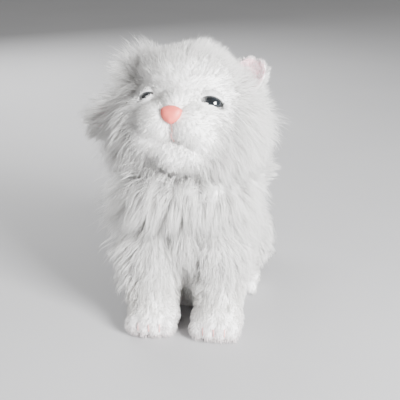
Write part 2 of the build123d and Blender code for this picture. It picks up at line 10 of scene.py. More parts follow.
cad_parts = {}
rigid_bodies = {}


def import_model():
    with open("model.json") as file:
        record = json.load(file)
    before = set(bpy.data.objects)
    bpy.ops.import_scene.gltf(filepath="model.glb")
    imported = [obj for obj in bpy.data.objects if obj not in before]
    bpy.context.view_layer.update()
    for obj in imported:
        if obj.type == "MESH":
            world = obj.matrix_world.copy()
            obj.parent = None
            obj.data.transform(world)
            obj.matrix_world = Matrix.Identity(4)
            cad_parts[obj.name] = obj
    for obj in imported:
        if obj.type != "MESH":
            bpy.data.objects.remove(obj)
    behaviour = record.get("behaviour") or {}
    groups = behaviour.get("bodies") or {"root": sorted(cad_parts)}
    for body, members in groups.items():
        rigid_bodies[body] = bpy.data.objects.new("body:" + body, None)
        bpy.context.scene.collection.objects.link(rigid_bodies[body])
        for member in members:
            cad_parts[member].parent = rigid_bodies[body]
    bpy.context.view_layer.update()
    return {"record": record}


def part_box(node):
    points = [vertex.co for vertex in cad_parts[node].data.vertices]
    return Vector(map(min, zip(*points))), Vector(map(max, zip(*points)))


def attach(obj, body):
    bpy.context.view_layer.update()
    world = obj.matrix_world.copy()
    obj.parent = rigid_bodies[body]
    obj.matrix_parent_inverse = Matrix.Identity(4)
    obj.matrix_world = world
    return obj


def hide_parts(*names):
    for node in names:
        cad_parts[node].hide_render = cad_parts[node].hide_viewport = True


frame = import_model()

MM = 0.001

# ---------------------------------------------------------------- places from the frame
joints = {joint["name"]: joint for joint in frame["record"]["behaviour"]["joints"]}
head_pivot = np.array(joints["head_nod"]["pos_m"])
head_right = -np.array(joints["head_nod"]["axis"])
head_up = -np.array(joints["head_button_press"]["axis"])
head_back = np.cross(head_up, head_right)
HEAD = np.column_stack([head_right, head_back, head_up])
shoulder_y = joints["left_leg_lift"]["pos_m"][1] / MM
shoulder_z = joints["left_leg_lift"]["pos_m"][2] / MM
WORLD = np.eye(3)
ZERO = np.zeros(3)


def centre_of(node):
    """Middle of a CAD node's box."""
    low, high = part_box(node)
    return (np.array(low) + np.array(high)) / 2


def to_head(points):
    """World metres to head-local millimetres."""
    return (np.asarray(points) - head_pivot) @ HEAD / MM


def from_head(points):
    """Head-local millimetres to world metres."""
    return np.asarray(points, float) * MM @ HEAD.T + head_pivot


def unit(v):
    """Vectors scaled to length one."""
    v = np.asarray(v, float)
    return v / np.maximum(np.linalg.norm(v, axis=-1, keepdims=True), 1e-9)


def ramp(x, low, high):
    """Smooth step from 0 at low to 1 at high."""
    t = np.clip((x - low) / (high - low), 0, 1)
    return t * t * (3 - 2 * t)


eye_spots = {side: to_head(centre_of(f"{side}_eye")) for side in ("left", "right")}
nose_spot = to_head(centre_of("nose"))

# ---------------------------------------------------------------- node materials


class Shader:
    """A Principled material with short helpers for its procedural nodes."""

    def __init__(self, name, roughness=0.6, **inputs):
        self.material = bpy.data.materials.new(name)
        self.material.use_nodes = True
        self.tree = self.material.node_tree
        self.bsdf = self.tree.nodes["Principled BSDF"]
        self.bsdf.inputs["Roughness"].default_value = roughness
        for key, value in inputs.items():
            self.bsdf.inputs[key.replace("_", " ")].default_value = value

    def node(self, kind, **settings):
        """A new shader node with its settings."""
        node = self.tree.nodes.new(kind)
        for key, value in settings.items():
            setattr(node, key, value)
        return node

    def link(self, source, target):
        self.tree.links.new(source, target)

    def noise(self, scale, detail=4.0, stretch=None):
        """Noise in object space; scale is about how many lumps it has to a metre."""
        coords = self.node("ShaderNodeTexCoord")
        noise = self.node("ShaderNodeTexNoise")
        noise.inputs["Scale"].default_value = scale
        noise.inputs["Detail"].default_value = detail
        source = coords.outputs["Object"]
        if stretch:
            mapping = self.node("ShaderNodeMapping")
            mapping.inputs["Scale"].default_value = stretch
            self.link(source, mapping.inputs["Vector"])
            source = mapping.outputs["Vector"]
        self.link(source, noise.inputs["Vector"])
        return noise.outputs["Fac"]

    def colours(self, factor, *stops):
        """Colour ramp over factor, from (position, colour) stops."""
        ramp_node = self.node("ShaderNodeValToRGB")
        elements = ramp_node.color_ramp.elements
        while len(elements) < len(stops):
            elements.new(0.5)
        for element, (position, colour) in zip(elements, stops):
            element.position = position
            element.color = (*colour, 1)
        self.link(factor, ramp_node.inputs["Fac"])
        return ramp_node.outputs["Color"]

    def base(self, colour):
        self.link(colour, self.bsdf.inputs["Base Color"])

    def bump(self, height, strength, distance):
        bump = self.node("ShaderNodeBump")
        bump.inputs["Strength"].default_value = strength
        bump.inputs["Distance"].default_value = distance
        self.link(height, bump.inputs["Height"])
        self.link(bump.outputs["Normal"], self.bsdf.inputs["Normal"])

    def rough(self, factor, low, high):
        """Roughness that follows factor between low and high."""
        span = self.node("ShaderNodeMapRange")
        span.inputs["To Min"].default_value = low
        span.inputs["To Max"].default_value = high
        self.link(factor, span.inputs["Value"])
        self.link(span.outputs["Result"], self.bsdf.inputs["Roughness"])


def moulded(name, colour, roughness, grain=900.0, metallic=0.0, spread=0.12, stretch=None):
    """Moulded plastic or metal: fine grain in the bump, slow drift in the colour, uneven gloss."""
    shader = Shader(name, roughness, Metallic=metallic)
    drift = shader.noise(40.0, 3.0)
    darker = tuple(c * (1 - spread) for c in colour)
    shader.base(shader.colours(drift, (0.3, darker), (0.7, colour)))
    shader.rough(shader.noise(160.0, 3.0, stretch), roughness - 0.08, roughness + 0.1)
    shader.bump(shader.noise(grain, 2.0, stretch), 0.25, 0.0002)
    return shader.material


def plush_backing(name, light, dark):
    """Woven backing and pile roots under the fur."""
    shader = Shader(name, 0.9)
    shader.base(shader.colours(shader.noise(500.0, 5.0), (0.3, dark), (0.7, light)))
    shader.bump(shader.noise(1200.0, 4.0), 0.6, 0.0006)
    return shader.material


def fur_material(name, root, tip, tint):
    """Pile fibre: colour runs from a darker root, painted shade deep in the pile, to the tip, differs from
    fibre to fibre, and is tinted by place.
    """
    shader = Shader(name, 0.45, Subsurface_Weight=0.6, Subsurface_Scale=0.0012)
    shader.bsdf.inputs["Specular IOR Level"].default_value = 0.4
    shader.bsdf.inputs["Subsurface Radius"].default_value = (1.0, 1.0, 1.0)
    attribute = shader.node("ShaderNodeAttribute", attribute_name="fur")
    split = shader.node("ShaderNodeSeparateColor")
    shader.link(attribute.outputs["Color"], split.inputs["Color"])
    # The root colour is darker than the tip: painted shade where the fibres shadow each other near the
    # skin.
    along = shader.colours(split.outputs["Red"], (0.0, root), (0.45, tip))
    tinted = shader.node("ShaderNodeMix", data_type="RGBA", blend_type="MIX")
    shader.link(split.outputs["Blue"], tinted.inputs["Factor"])
    shader.link(along, tinted.inputs["A"])
    tinted.inputs["B"].default_value = (*tint, 1)
    varied = shader.node("ShaderNodeMix", data_type="RGBA", blend_type="MULTIPLY")
    varied.inputs["Factor"].default_value = 1.0
    shader.link(tinted.outputs["Result"], varied.inputs["A"])
    shade = shader.colours(split.outputs["Green"], (0.0, (0.76, 0.76, 0.78)), (1.0, (1.0, 1.0, 1.0)))
    shader.link(shade, varied.inputs["B"])
    shader.base(varied.outputs["Result"])
    return shader.material


def smooth_soft(name, colour, deep, roughness):
    """Soft matt surface with a fine flocked grain."""
    shader = Shader(name, roughness)
    shader.base(shader.colours(shader.noise(260.0, 5.0), (0.3, deep), (0.65, colour)))
    shader.bump(shader.noise(2200.0, 3.0), 0.35, 0.0002)
    return shader.material


# Every fur colour here has a root darker than its tip, painted shade deep in the pile.
WHITE_SHADED_ROOT = (0.78, 0.765, 0.74)
WHITE_TIP = (0.985, 0.973, 0.938)
CREAM = (0.96, 0.91, 0.80)
fur_white = fur_material("fur_white", WHITE_SHADED_ROOT, WHITE_TIP, CREAM)
fur_paw = fur_material("fur_paw", (0.90, 0.82, 0.81), (0.975, 0.94, 0.92), (0.95, 0.76, 0.74))
fur_ear = fur_material("fur_ear", (0.90, 0.62, 0.66), (0.97, 0.80, 0.82), (0.95, 0.66, 0.70))
backing_white = plush_backing("backing_white", (0.95, 0.945, 0.94), (0.84, 0.835, 0.83))
backing_pink = plush_backing("backing_pink", (0.93, 0.64, 0.68), (0.85, 0.52, 0.57))
nose_pink = smooth_soft("nose_pink", (0.80, 0.16, 0.12), (0.70, 0.12, 0.10), 0.5)
stitch_pink = smooth_soft("stitch_pink", (0.92, 0.50, 0.48), (0.80, 0.38, 0.38), 0.7)

eye_shader = Shader("eye_black", 0.06, Coat_Weight=1.0, Coat_Roughness=0.03)
eye_shader.base(eye_shader.colours(eye_shader.noise(120.0, 3.0), (0.35, (0.004, 0.005, 0.006)),
                                   (0.7, (0.012, 0.016, 0.02))))

slot_materials = {
    "wadding": plush_backing("wadding_fibre", (0.93, 0.93, 0.92), (0.78, 0.78, 0.78)),
    "casing": moulded("casing_plastic", (0.84, 0.84, 0.82), 0.45),
    "casing_dark": moulded("dark_plastic", (0.05, 0.05, 0.055), 0.42),
    "steel": moulded("plain_steel", (0.62, 0.62, 0.64), 0.32, metallic=1.0, stretch=(1, 1, 12)),
    "cell": moulded("cell_sleeve", (0.12, 0.22, 0.40), 0.3),
    "contact": moulded("plated_contact", (0.80, 0.66, 0.36), 0.28, metallic=1.0),
    "board": moulded("board_lacquer", (0.04, 0.26, 0.10), 0.35, spread=0.35),
    "speaker": moulded("speaker_cone", (0.06, 0.06, 0.065), 0.7, grain=1600.0),
    "gear": moulded("gear_nylon", (0.90, 0.87, 0.78), 0.4),
    "motor": moulded("motor_can", (0.66, 0.66, 0.67), 0.3, metallic=1.0, stretch=(12, 1, 1)),
    "eye": eye_shader.material,
    "eyelid": backing_white,
    "nose": nose_pink,
    "ear": backing_pink,
    "plush_white": backing_white,
}
node_slots = {row["node"]: row["material_slot"] for row in frame["record"]["subparts"]}
for node_name, slot_name in node_slots.items():
    cad_object = bpy.data.objects[node_name]
    cad_object.data.materials.clear()
    cad_object.data.materials.append(slot_materials[slot_name])

# ---------------------------------------------------------------- soft bases from blobs


def blob(centre, radii, axes=WORLD, origin=ZERO):
    """Ellipsoid: centre and radii in millimetres, in the given axes about origin."""
    return (np.asarray(centre, float) * MM @ axes.T + origin, np.asarray(radii, float) * MM, axes)


def head_blob(centre, radii):
    """Ellipsoid in head-local millimetres."""
    return blob(centre, radii, HEAD, head_pivot)


def evaluated_copy(obj):
    """Mesh of obj with its modifiers applied."""
    depsgraph = bpy.context.evaluated_depsgraph_get()
    return bpy.data.meshes.new_from_object(obj.evaluated_get(depsgraph))


def coordinates(mesh):
    """Vertex places of a mesh as an array."""
    co = np.empty(len(mesh.vertices) * 3, np.float32)
    mesh.vertices.foreach_get("co", co)
    return co.reshape(-1, 3).astype(float)


def write_coordinates(mesh, co):
    """Vertex places of a mesh set from an array."""
    mesh.vertices.foreach_set("co", co.astype(np.float32).ravel())
    mesh.update()


def ico_sphere():
    """Vertices and faces of a fine unit sphere."""
    bm = bmesh.new()
    bmesh.ops.create_icosphere(bm, subdivisions=4, radius=1.0)
    verts = np.array([v.co[:] for v in bm.verts])
    faces = np.array([[v.index for v in f.verts] for f in bm.faces])
    bm.free()
    return verts, faces


SPHERE_VERTS, SPHERE_FACES = ico_sphere()


def make_base(name, blobs, body, material, voxel=1.6, smooth=8, shape=None):
    """One closed skin round a set of blobs, smoothed where they meet."""
    all_verts = []
    all_faces = []
    for index, (centre, radii, axes) in enumerate(blobs):
        all_verts.append((SPHERE_VERTS * radii) @ axes.T + centre)
        all_faces.append(SPHERE_FACES + index * len(SPHERE_VERTS))
    mesh = bpy.data.meshes.new(name)
    mesh.from_pydata(np.vstack(all_verts).tolist(), [], np.vstack(all_faces).tolist())
    obj = bpy.data.objects.new(name, mesh)
    bpy.context.scene.collection.objects.link(obj)
    remesh = obj.modifiers.new("skin", "REMESH")
    remesh.mode = "VOXEL"
    remesh.voxel_size = voxel * MM
    relax = obj.modifiers.new("relax", "SMOOTH")
    relax.factor = 0.5
    relax.iterations = smooth
    final = evaluated_copy(obj)
    obj.modifiers.clear()
    obj.data = final
    if shape is not None:
        write_coordinates(final, shape(coordinates(final)))
    for polygon in final.polygons:
        polygon.use_smooth = True
    final.materials.clear()
    final.materials.append(material)
    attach(obj, body)
    return obj


def outside(points, blobs, margin):
    """Points moved out of the blobs, to margin above their surfaces."""
    for centre, radii, axes in blobs:
        local = (points - centre) @ axes
        grown = radii + margin
        scaled = local / grown
        size = np.linalg.norm(scaled, axis=-1, keepdims=True)
        inside = size < 1
        points = np.where(inside, (local / np.maximum(size, 1e-6)) @ axes.T + centre, points)
    return points


# ---------------------------------------------------------------- fur strands
UP = np.array([0.0, 0.0, 1.0])
FLOOR_GAP = 0.2 * MM
ROOT_DEPTH_MM = 0.4
LEAN_SCALE = 14 * MM
BATCH = 2000
# What a style may leave out: keep is the chance that a root grows, fly the chance of a stray strand, mess
# and wave how unevenly strands lie, weight how far they hang, lock how far they gather into tufts, thick
# their thickness in millimetres, and tint the share of the tint colour.
USUAL_LOOK = {
    "keep": 1.0, "fly": 0.05, "mess": 0.25, "weight": 0.6,
    "wave": 0.05, "lock": 0.6, "thick": 0.22, "tint": 0.0,
}


def wander(points, scale, seed):
    """Smooth pseudo-random vectors over space, for neighbouring strands that lean together."""
    local = np.random.default_rng(seed)
    total = np.zeros((len(points), 3))
    for octave in range(3):
        waves = local.normal(size=(3, 3)) * (2 ** octave) / scale
        phases = local.uniform(0, 2 * math.pi, 3)
        total += np.sin(points @ waves.T + phases) / (1.5 ** octave)
    return total / 1.6


def scatter(obj, count, seed):
    """Random points and normals over a mesh, even by area."""
    local = np.random.default_rng(seed)
    mesh = obj.data
    mesh.calc_loop_triangles()
    tris = np.empty(len(mesh.loop_triangles) * 3, np.int32)
    mesh.loop_triangles.foreach_get("vertices", tris)
    tris = tris.reshape(-1, 3)
    co = coordinates(mesh)
    normals = np.empty(len(mesh.vertices) * 3, np.float32)
    mesh.vertices.foreach_get("normal", normals)
    normals = normals.reshape(-1, 3)
    a, b, c = (co[tris[:, i]] for i in range(3))
    area = np.linalg.norm(np.cross(b - a, c - a), axis=1)
    chosen = local.choice(len(tris), size=count, p=area / area.sum())
    u = np.sqrt(local.uniform(size=count))[:, None]
    v = local.uniform(size=count)[:, None]
    points = a[chosen] * (1 - u) + b[chosen] * u * (1 - v) + c[chosen] * u * v
    return points, unit(normals[tris[chosen]].mean(axis=1))


def strands_mesh(name, lines, radius, tint, seed, material, body):
    """Closed three-sided tapering strands along polylines, as one mesh."""
    local = np.random.default_rng(seed)
    count, rings_plus, _ = lines.shape
    rings = rings_plus - 1
    step = np.gradient(lines, axis=1)
    forward = unit(step)
    helper = unit(local.normal(size=(count, 1, 3)))
    side = unit(np.cross(forward, helper))
    other = np.cross(forward, side)
    t = np.linspace(0, 1, rings_plus)[:rings]
    taper = (1 - 0.8 * t ** 1.4)[None, :, None]
    width = radius[:, None, None] * taper
    corners = []
    for corner in range(3):
        angle = 2 * math.pi * corner / 3
        offset = math.cos(angle) * side[:, :rings] + math.sin(angle) * other[:, :rings]
        corners.append(lines[:, :rings] + offset * width)
    ring_verts = np.stack(corners, axis=2).reshape(count, rings * 3, 3)
    verts = np.concatenate([ring_verts, lines[:, -1:]], axis=1)
    per = rings * 3 + 1
    verts[..., 2] = np.maximum(verts[..., 2], FLOOR_GAP)

    quads = []
    quad_uv = []
    for k in range(rings - 1):
        for j in range(3):
            n = (j + 1) % 3
            quads.append([k * 3 + j, k * 3 + n, k * 3 + 3 + n, k * 3 + 3 + j])
            quad_uv.append([(j, k), (j + 1, k), (j + 1, k + 1), (j, k + 1)])
    last = (rings - 1) * 3
    tris = []
    tri_uv = []
    for j in range(3):
        tris.append([last + j, last + (j + 1) % 3, rings * 3])
        tri_uv.append([(j, rings - 1), (j + 1, rings - 1), (j + 0.5, rings)])
    tris.append([2, 1, 0])
    tri_uv.append([(2, 0), (1, 0), (0, 0.2)])
    local_loops = np.concatenate([np.array(quads).ravel(), np.array(tris).ravel()])
    local_uv = np.concatenate([np.array(part, float).reshape(-1, 2) for part in (quad_uv, tri_uv)])
    sizes = np.array([4] * len(quads) + [3] * len(tris))

    mesh = bpy.data.meshes.new(name)
    mesh.vertices.add(count * per)
    mesh.vertices.foreach_set("co", verts.astype(np.float32).ravel())
    loops = (np.arange(count)[:, None] * per + local_loops[None, :]).ravel()
    mesh.loops.add(len(loops))
    mesh.loops.foreach_set("vertex_index", loops.astype(np.int32))
    all_sizes = np.tile(sizes, count)
    mesh.polygons.add(len(all_sizes))
    starts = np.concatenate([[0], np.cumsum(all_sizes)[:-1]])
    mesh.polygons.foreach_set("loop_start", starts.astype(np.int32))
    mesh.polygons.foreach_set("use_smooth", np.ones(len(all_sizes), bool))
    mesh.update(calc_edges=True)

    grid = int(math.ceil(math.sqrt(count)))
    cell = np.stack([np.arange(count) % grid, np.arange(count) // grid], axis=1)
    inner = local_uv / np.array([3.0, rings]) * 0.9 + 0.05
    uv = (cell[:, None, :] + inner[None, :, :]) / grid
    layer = mesh.uv_layers.new(name="OFBake")
    layer.data.foreach_set("uv", uv.astype(np.float32).ravel())

    # Red runs from root to tip and drives the fur material's painted shade at the roots; green is a random
    # tone for each strand; blue is the tint's share.
    along = np.concatenate([np.repeat(t, 3), [1.0]])
    colour = np.ones((count, per, 4), np.float32)
    colour[..., 0] = along[None, :]
    colour[..., 1] = local.uniform(size=count)[:, None]
    colour[..., 2] = tint[:, None]
    attribute = mesh.attributes.new("fur", "FLOAT_COLOR", "POINT")
    attribute.data.foreach_set("color", colour.ravel())

    mesh.materials.append(material)
    obj = bpy.data.objects.new(name, mesh)
    bpy.context.scene.collection.objects.link(obj)
    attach(obj, body)
    return obj


def flat(value, points):
    """The same value for every point."""
    return np.full(len(points), float(value))


def complete(look, points):
    """A style with the usual look filled in, as arrays with one entry for each root."""
    whole = {**USUAL_LOOK, **look}
    return {key: flat(value, points) if np.isscalar(value) else value for key, value in whole.items()}


def grow(name, base, body, count, style, material, seed, clear_of=(), segments=4, lock_size=26):
    """Fur over base. style gives the look at each root, and may leave out what USUAL_LOOK holds."""
    points, normals = scatter(base, count, seed)
    local = np.random.default_rng(seed + 1)
    look = complete(style(points, normals), points)
    keep = local.uniform(size=count) < look["keep"]
    points, normals = points[keep], normals[keep]
    look = {key: value[keep] for key, value in look.items()}
    total = len(points)
    length = look["length"] * MM * local.uniform(0.72, 1.12, total)
    fly = local.uniform(size=total) < look["fly"]
    length = np.where(fly, length * 1.12, length)
    mess = look["mess"][:, None]
    lie = unit(look["lie"] + wander(points, LEAN_SCALE, seed) * mess + local.normal(size=(total, 3)) * 0.08)
    lift = look["lift"][:, None] * np.where(fly, 1.5, 1.0)[:, None]
    weight = look["weight"][:, None]
    wave = look["wave"][:, None]
    phase = wander(points, LEAN_SCALE * 1.4, seed + 5)
    line = [points - normals * ROOT_DEPTH_MM * MM]
    here = points.copy()
    for k in range(1, segments + 1):
        t = k / segments
        direction = unit(normals * lift * (1 - 0.75 * t) + lie * (0.35 + 0.65 * t) - UP * weight * t)
        here = here + direction * (length / segments)[:, None]
        sway = np.sin(2.4 * math.pi * t + phase * 3) * wave * length[:, None] * t * 0.6
        spot = here + sway
        if clear_of:
            spot = outside(spot, clear_of, (0.4 + 0.8 * t) * MM)
            here = spot - sway * 0.5
        line.append(spot)
    lines = np.stack(line, axis=1)
    guides = local.choice(total, size=max(3, total // lock_size), replace=False)
    nearest = np.empty(total, int)
    for start in range(0, total, BATCH):
        stop = min(start + BATCH, total)
        gaps = np.linalg.norm(points[start:stop, None, :] - points[guides][None, :, :], axis=2)
        nearest[start:stop] = guides[gaps.argmin(axis=1)]
    t = np.linspace(0, 1, segments + 1)[None, :, None]
    pull = look["lock"][:, None, None] * np.where(fly, 0.15, 1.0)[:, None, None]
    pull = pull * t ** 1.2
    jitter = local.normal(size=(total, 1, 3)) * 0.5 * MM * t
    lines = lines * (1 - pull) + (lines[nearest] + jitter) * pull
    if clear_of:
        shape = lines.shape
        tail = outside(lines[:, 1:].reshape(-1, 3), clear_of, 0.5 * MM)
        lines[:, 1:] = tail.reshape(shape[0], shape[1] - 1, 3)
    thickness = look["thick"] * MM * local.uniform(0.7, 1.2, total)
    return strands_mesh(name, lines, thickness, look["tint"], seed + 2, material, body)


# ---------------------------------------------------------------- head base
head_blobs = [
    head_blob((0, 1, 0), (46, 45, 42)),
    head_blob((23, -18, -12), (23, 23, 22)),
    head_blob((-23, -18, -12), (23, 23, 22)),
    head_blob((0, -20, 20), (34, 26, 22)),
    head_blob((0, -34, -5), (13, 19, 13)),
    head_blob((11, -36, -16), (17, 17, 15)),
    head_blob((-11, -36, -16), (17, 17, 15)),
    head_blob((19, -24, -24), (18, 19, 16)),
    head_blob((-19, -24, -24), (18, 19, 16)),
]
socket_r = 9.9


def eye_opening(local, spot):
    """Which way an eye looks, where each point is from it, and whether that is in its arched opening."""
    # The rim and brow are curves of height over the distance outward from the eye's middle, in millimetres.
    look = unit(np.array([spot[0] * 0.35, spot[1], 0.0]))
    away = local - spot
    ahead = away @ look
    sideways = away - np.outer(ahead, look)
    outward = sideways[:, 0] * np.sign(spot[0])
    if spot[0] > 0:
        inner, outer = -7.5, 8.0
        rim = -2.0 - 0.022 * outward ** 2 - 0.34 * outward
        brow = 9.0 - 0.085 * (outward + 1.0) ** 2 - 0.25 * outward
    else:
        inner, outer = -5.5, 6.2
        rim = 0.2 - 0.010 * outward ** 2 - 0.62 * outward
        brow = 5.8 - 0.020 * outward ** 2 - 0.62 * outward
    in_window = (away[:, 2] > rim) & (away[:, 2] < brow) & (outward > inner) & (outward < outer)
    return look, away, ahead, sideways, in_window


def sockets(co):
    """Sockets for the eyes, open between rim and brow, and a crease down the middle of the muzzle."""
    local = to_head(co)
    for spot in eye_spots.values():
        look, away, ahead, sideways, in_window = eye_opening(local, spot)
        distance = np.linalg.norm(away, axis=1, keepdims=True)
        reach = np.linalg.norm(sideways, axis=1)
        opened = in_window & (reach < socket_r) & (ahead > -4)
        depth = np.sqrt(np.maximum(socket_r ** 2 - reach ** 2, 0))
        sunk = spot + sideways - depth[:, None] * look
        pushed = np.where(distance < socket_r, spot + away / np.maximum(distance, 1e-6) * socket_r, local)
        local = np.where(opened[:, None], sunk, pushed)
    crease = np.exp(-(local[:, 0] / 2.6) ** 2) * ramp(-local[:, 1], 40, 48) * ramp(-local[:, 2], 16, 22)
    local[:, 1] += crease * 2.5
    return from_head(local)


head_base = make_base("head_skin", head_blobs, "head", backing_white, voxel=1.5, smooth=6, shape=sockets)
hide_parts("head_plush")

chin_blobs = [
    head_blob((-3, -29, -34.5), (19, 11, 7.5)),
    head_blob((7, -29, -38), (16, 11, 7.5)),
    head_blob((0, -31, -41), (12, 9, 6.5)),
]
chin_base = make_base("chin_skin", chin_blobs, "jaw", backing_white, voxel=1.2, smooth=4)
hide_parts("chin_plush")

# ---------------------------------------------------------------- body bases
neck_y = head_pivot[1] / MM
torso_blobs = [
    blob((0, -20, 58), (40, 56, 52)),
    blob((0, 2, 46), (41, 40, 44)),
    blob((0, -50, 62), (37, 26, 46)),
    blob((0, -78, 90), (42, 34, 27)),
    blob((0, -30, 30), (33, 44, 30)),
    blob((0, shoulder_y - 2, 74), (5.5, 13, 30)),
    blob((0, -60, 34), (38, 33, 37)),
]
web_half_x = 5.5
opening_half_x = 20.0
opening_y = (-74.0, -13.0)
opening_roof = 19.0
seat_z = 0.4
shoulder_bed_r = 22.4
chest_wall_y = -80
head_room_r = 53


def torso_shape(co):
    """Flat seat, battery opening, beds for the shoulders, flat wall behind the legs, room for the head."""
    mm = co / MM
    under = (np.abs(mm[:, 0]) < opening_half_x) & (mm[:, 1] > opening_y[0]) & (mm[:, 1] < opening_y[1])
    mm[:, 2] = np.where(under & (mm[:, 2] < opening_roof), opening_roof, mm[:, 2])
    mm[:, 2] = np.maximum(mm[:, 2], seat_z)
    away = mm[:, 1:] - np.array([shoulder_y, shoulder_z])
    distance = np.linalg.norm(away, axis=1, keepdims=True)
    beside = np.abs(mm[:, 0:1]) > web_half_x
    on_bed = away / np.maximum(distance, 1e-6) * shoulder_bed_r
    pushed = np.where((distance < shoulder_bed_r) & beside, on_bed, away)
    mm[:, 1:] = pushed + np.array([shoulder_y, shoulder_z])
    low = (mm[:, 2] < shoulder_z) & (mm[:, 1] < chest_wall_y) & beside[:, 0]
    mm[:, 1] = np.where(low, chest_wall_y, mm[:, 1])
    pivot = head_pivot / MM
    from_pivot = mm - pivot
    radius = np.linalg.norm(from_pivot, axis=1, keepdims=True)
    on_room = pivot + from_pivot / np.maximum(radius, 1e-6) * head_room_r
    mm = np.where(radius < head_room_r, on_room, mm)
    return mm * MM


torso_base = make_base("body_skin", torso_blobs, "body", backing_white, voxel=2.0, smooth=10,
                       shape=torso_shape)
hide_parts("body_plush", "body_wadding")

ruff_count = 14
ruff_r = 31
ruff_z = 113
ruff_blobs = []
for i in range(ruff_count):
    angle = 2 * math.pi * i / ruff_count
    spot = (ruff_r * math.cos(angle), neck_y + ruff_r * math.sin(angle), ruff_z)
    ruff_blobs.append(blob(spot, (11, 11, 10)))
ruff_base = make_base("neck_skin", ruff_blobs, "neck", backing_white, voxel=1.6, smooth=4)

sides = {"left": 1, "right": -1}
leg_x = 25
sole_z = 0.4 * MM


def flat_sole(co):
    """A skin with everything under the sole pressed flat."""
    return np.maximum(co, np.array([-1, -1, sole_z]))


legs = {}
for side, sign in sides.items():
    x = leg_x * sign
    leg_blobs = [
        blob((x, shoulder_y, shoulder_z), (18, 19, 19)),
        blob((x, shoulder_y - 3, 42), (17, 17, 30)),
        blob((x, shoulder_y - 7, 22), (16.5, 17, 20)),
        blob((x, -115, 13), (19, 20, 13.5)),
    ]
    for toe in (-12, -4.2, 4.2, 12):
        leg_blobs.append(blob((x + toe, -129 + abs(toe) * 0.25, 9), (6.6, 7.6, 8.4)))
    leg_base = make_base(f"{side}_front_leg_skin", leg_blobs, f"{side}_leg", backing_white,
                         voxel=1.4, smooth=3, shape=flat_sole)
    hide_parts(f"{side}_front_leg_plush")
    hind_blobs = [
        blob((38 * sign, -6, 37), (13, 27, 29)),
        blob((37 * sign, -26, 9), (11, 20, 8.5)),
    ]
    for toe in (-6.5, 0, 6.5):
        hind_blobs.append(blob(((37 + toe) * sign, -44, 7.5), (4.6, 5.5, 6.4)))
    hind_base = make_base(f"{side}_hind_leg_skin", hind_blobs, "body", backing_white,
                          voxel=1.4, smooth=3, shape=flat_sole)
    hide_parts(f"{side}_hind_leg_plush")
    legs[side] = (leg_base, leg_blobs, hind_base, hind_blobs)

tail_low, tail_high = (np.array(corner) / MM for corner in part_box("tail_plush"))
tail_r = 12.0
tail_start = tail_low + tail_r
tail_end = tail_high - tail_r
tail_blobs = [blob(tail_start + (tail_end - tail_start) * f, (8, 8, 8)) for f in np.linspace(0, 1, 9)]
tail_base = make_base("tail_skin", tail_blobs, "tail", backing_white, voxel=1.4, smooth=4)
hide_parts("tail_plush")

# ---------------------------------------------------------------- fur styles
mouth_lines = [
    [(0, -56, -19), (0, -55, -24), (0.6, -51, -30)],
    [(0.6, -51, -30), (4, -50, -31.5), (8, -48, -32)],
    [(0.6, -51, -30), (-3, -50, -31.2)],
]


def stitch_distance(local):
    """Distance from the stitched mouth lines, in head-local millimetres."""
    best = np.full(len(local), 1e3)
    for line in mouth_lines:
        for start, end in zip(line[:-1], line[1:]):
            a, b = np.array(start, float), np.array(end, float)
            t = np.clip(((local - a) @ (b - a)) / ((b - a) @ (b - a)), 0, 1)
            gap = local - (a + t[:, None] * (b - a))
            best = np.minimum(best, np.linalg.norm(gap[:, [0, 2]], axis=1) + (gap[:, 1] > 12) * 50)
    return best


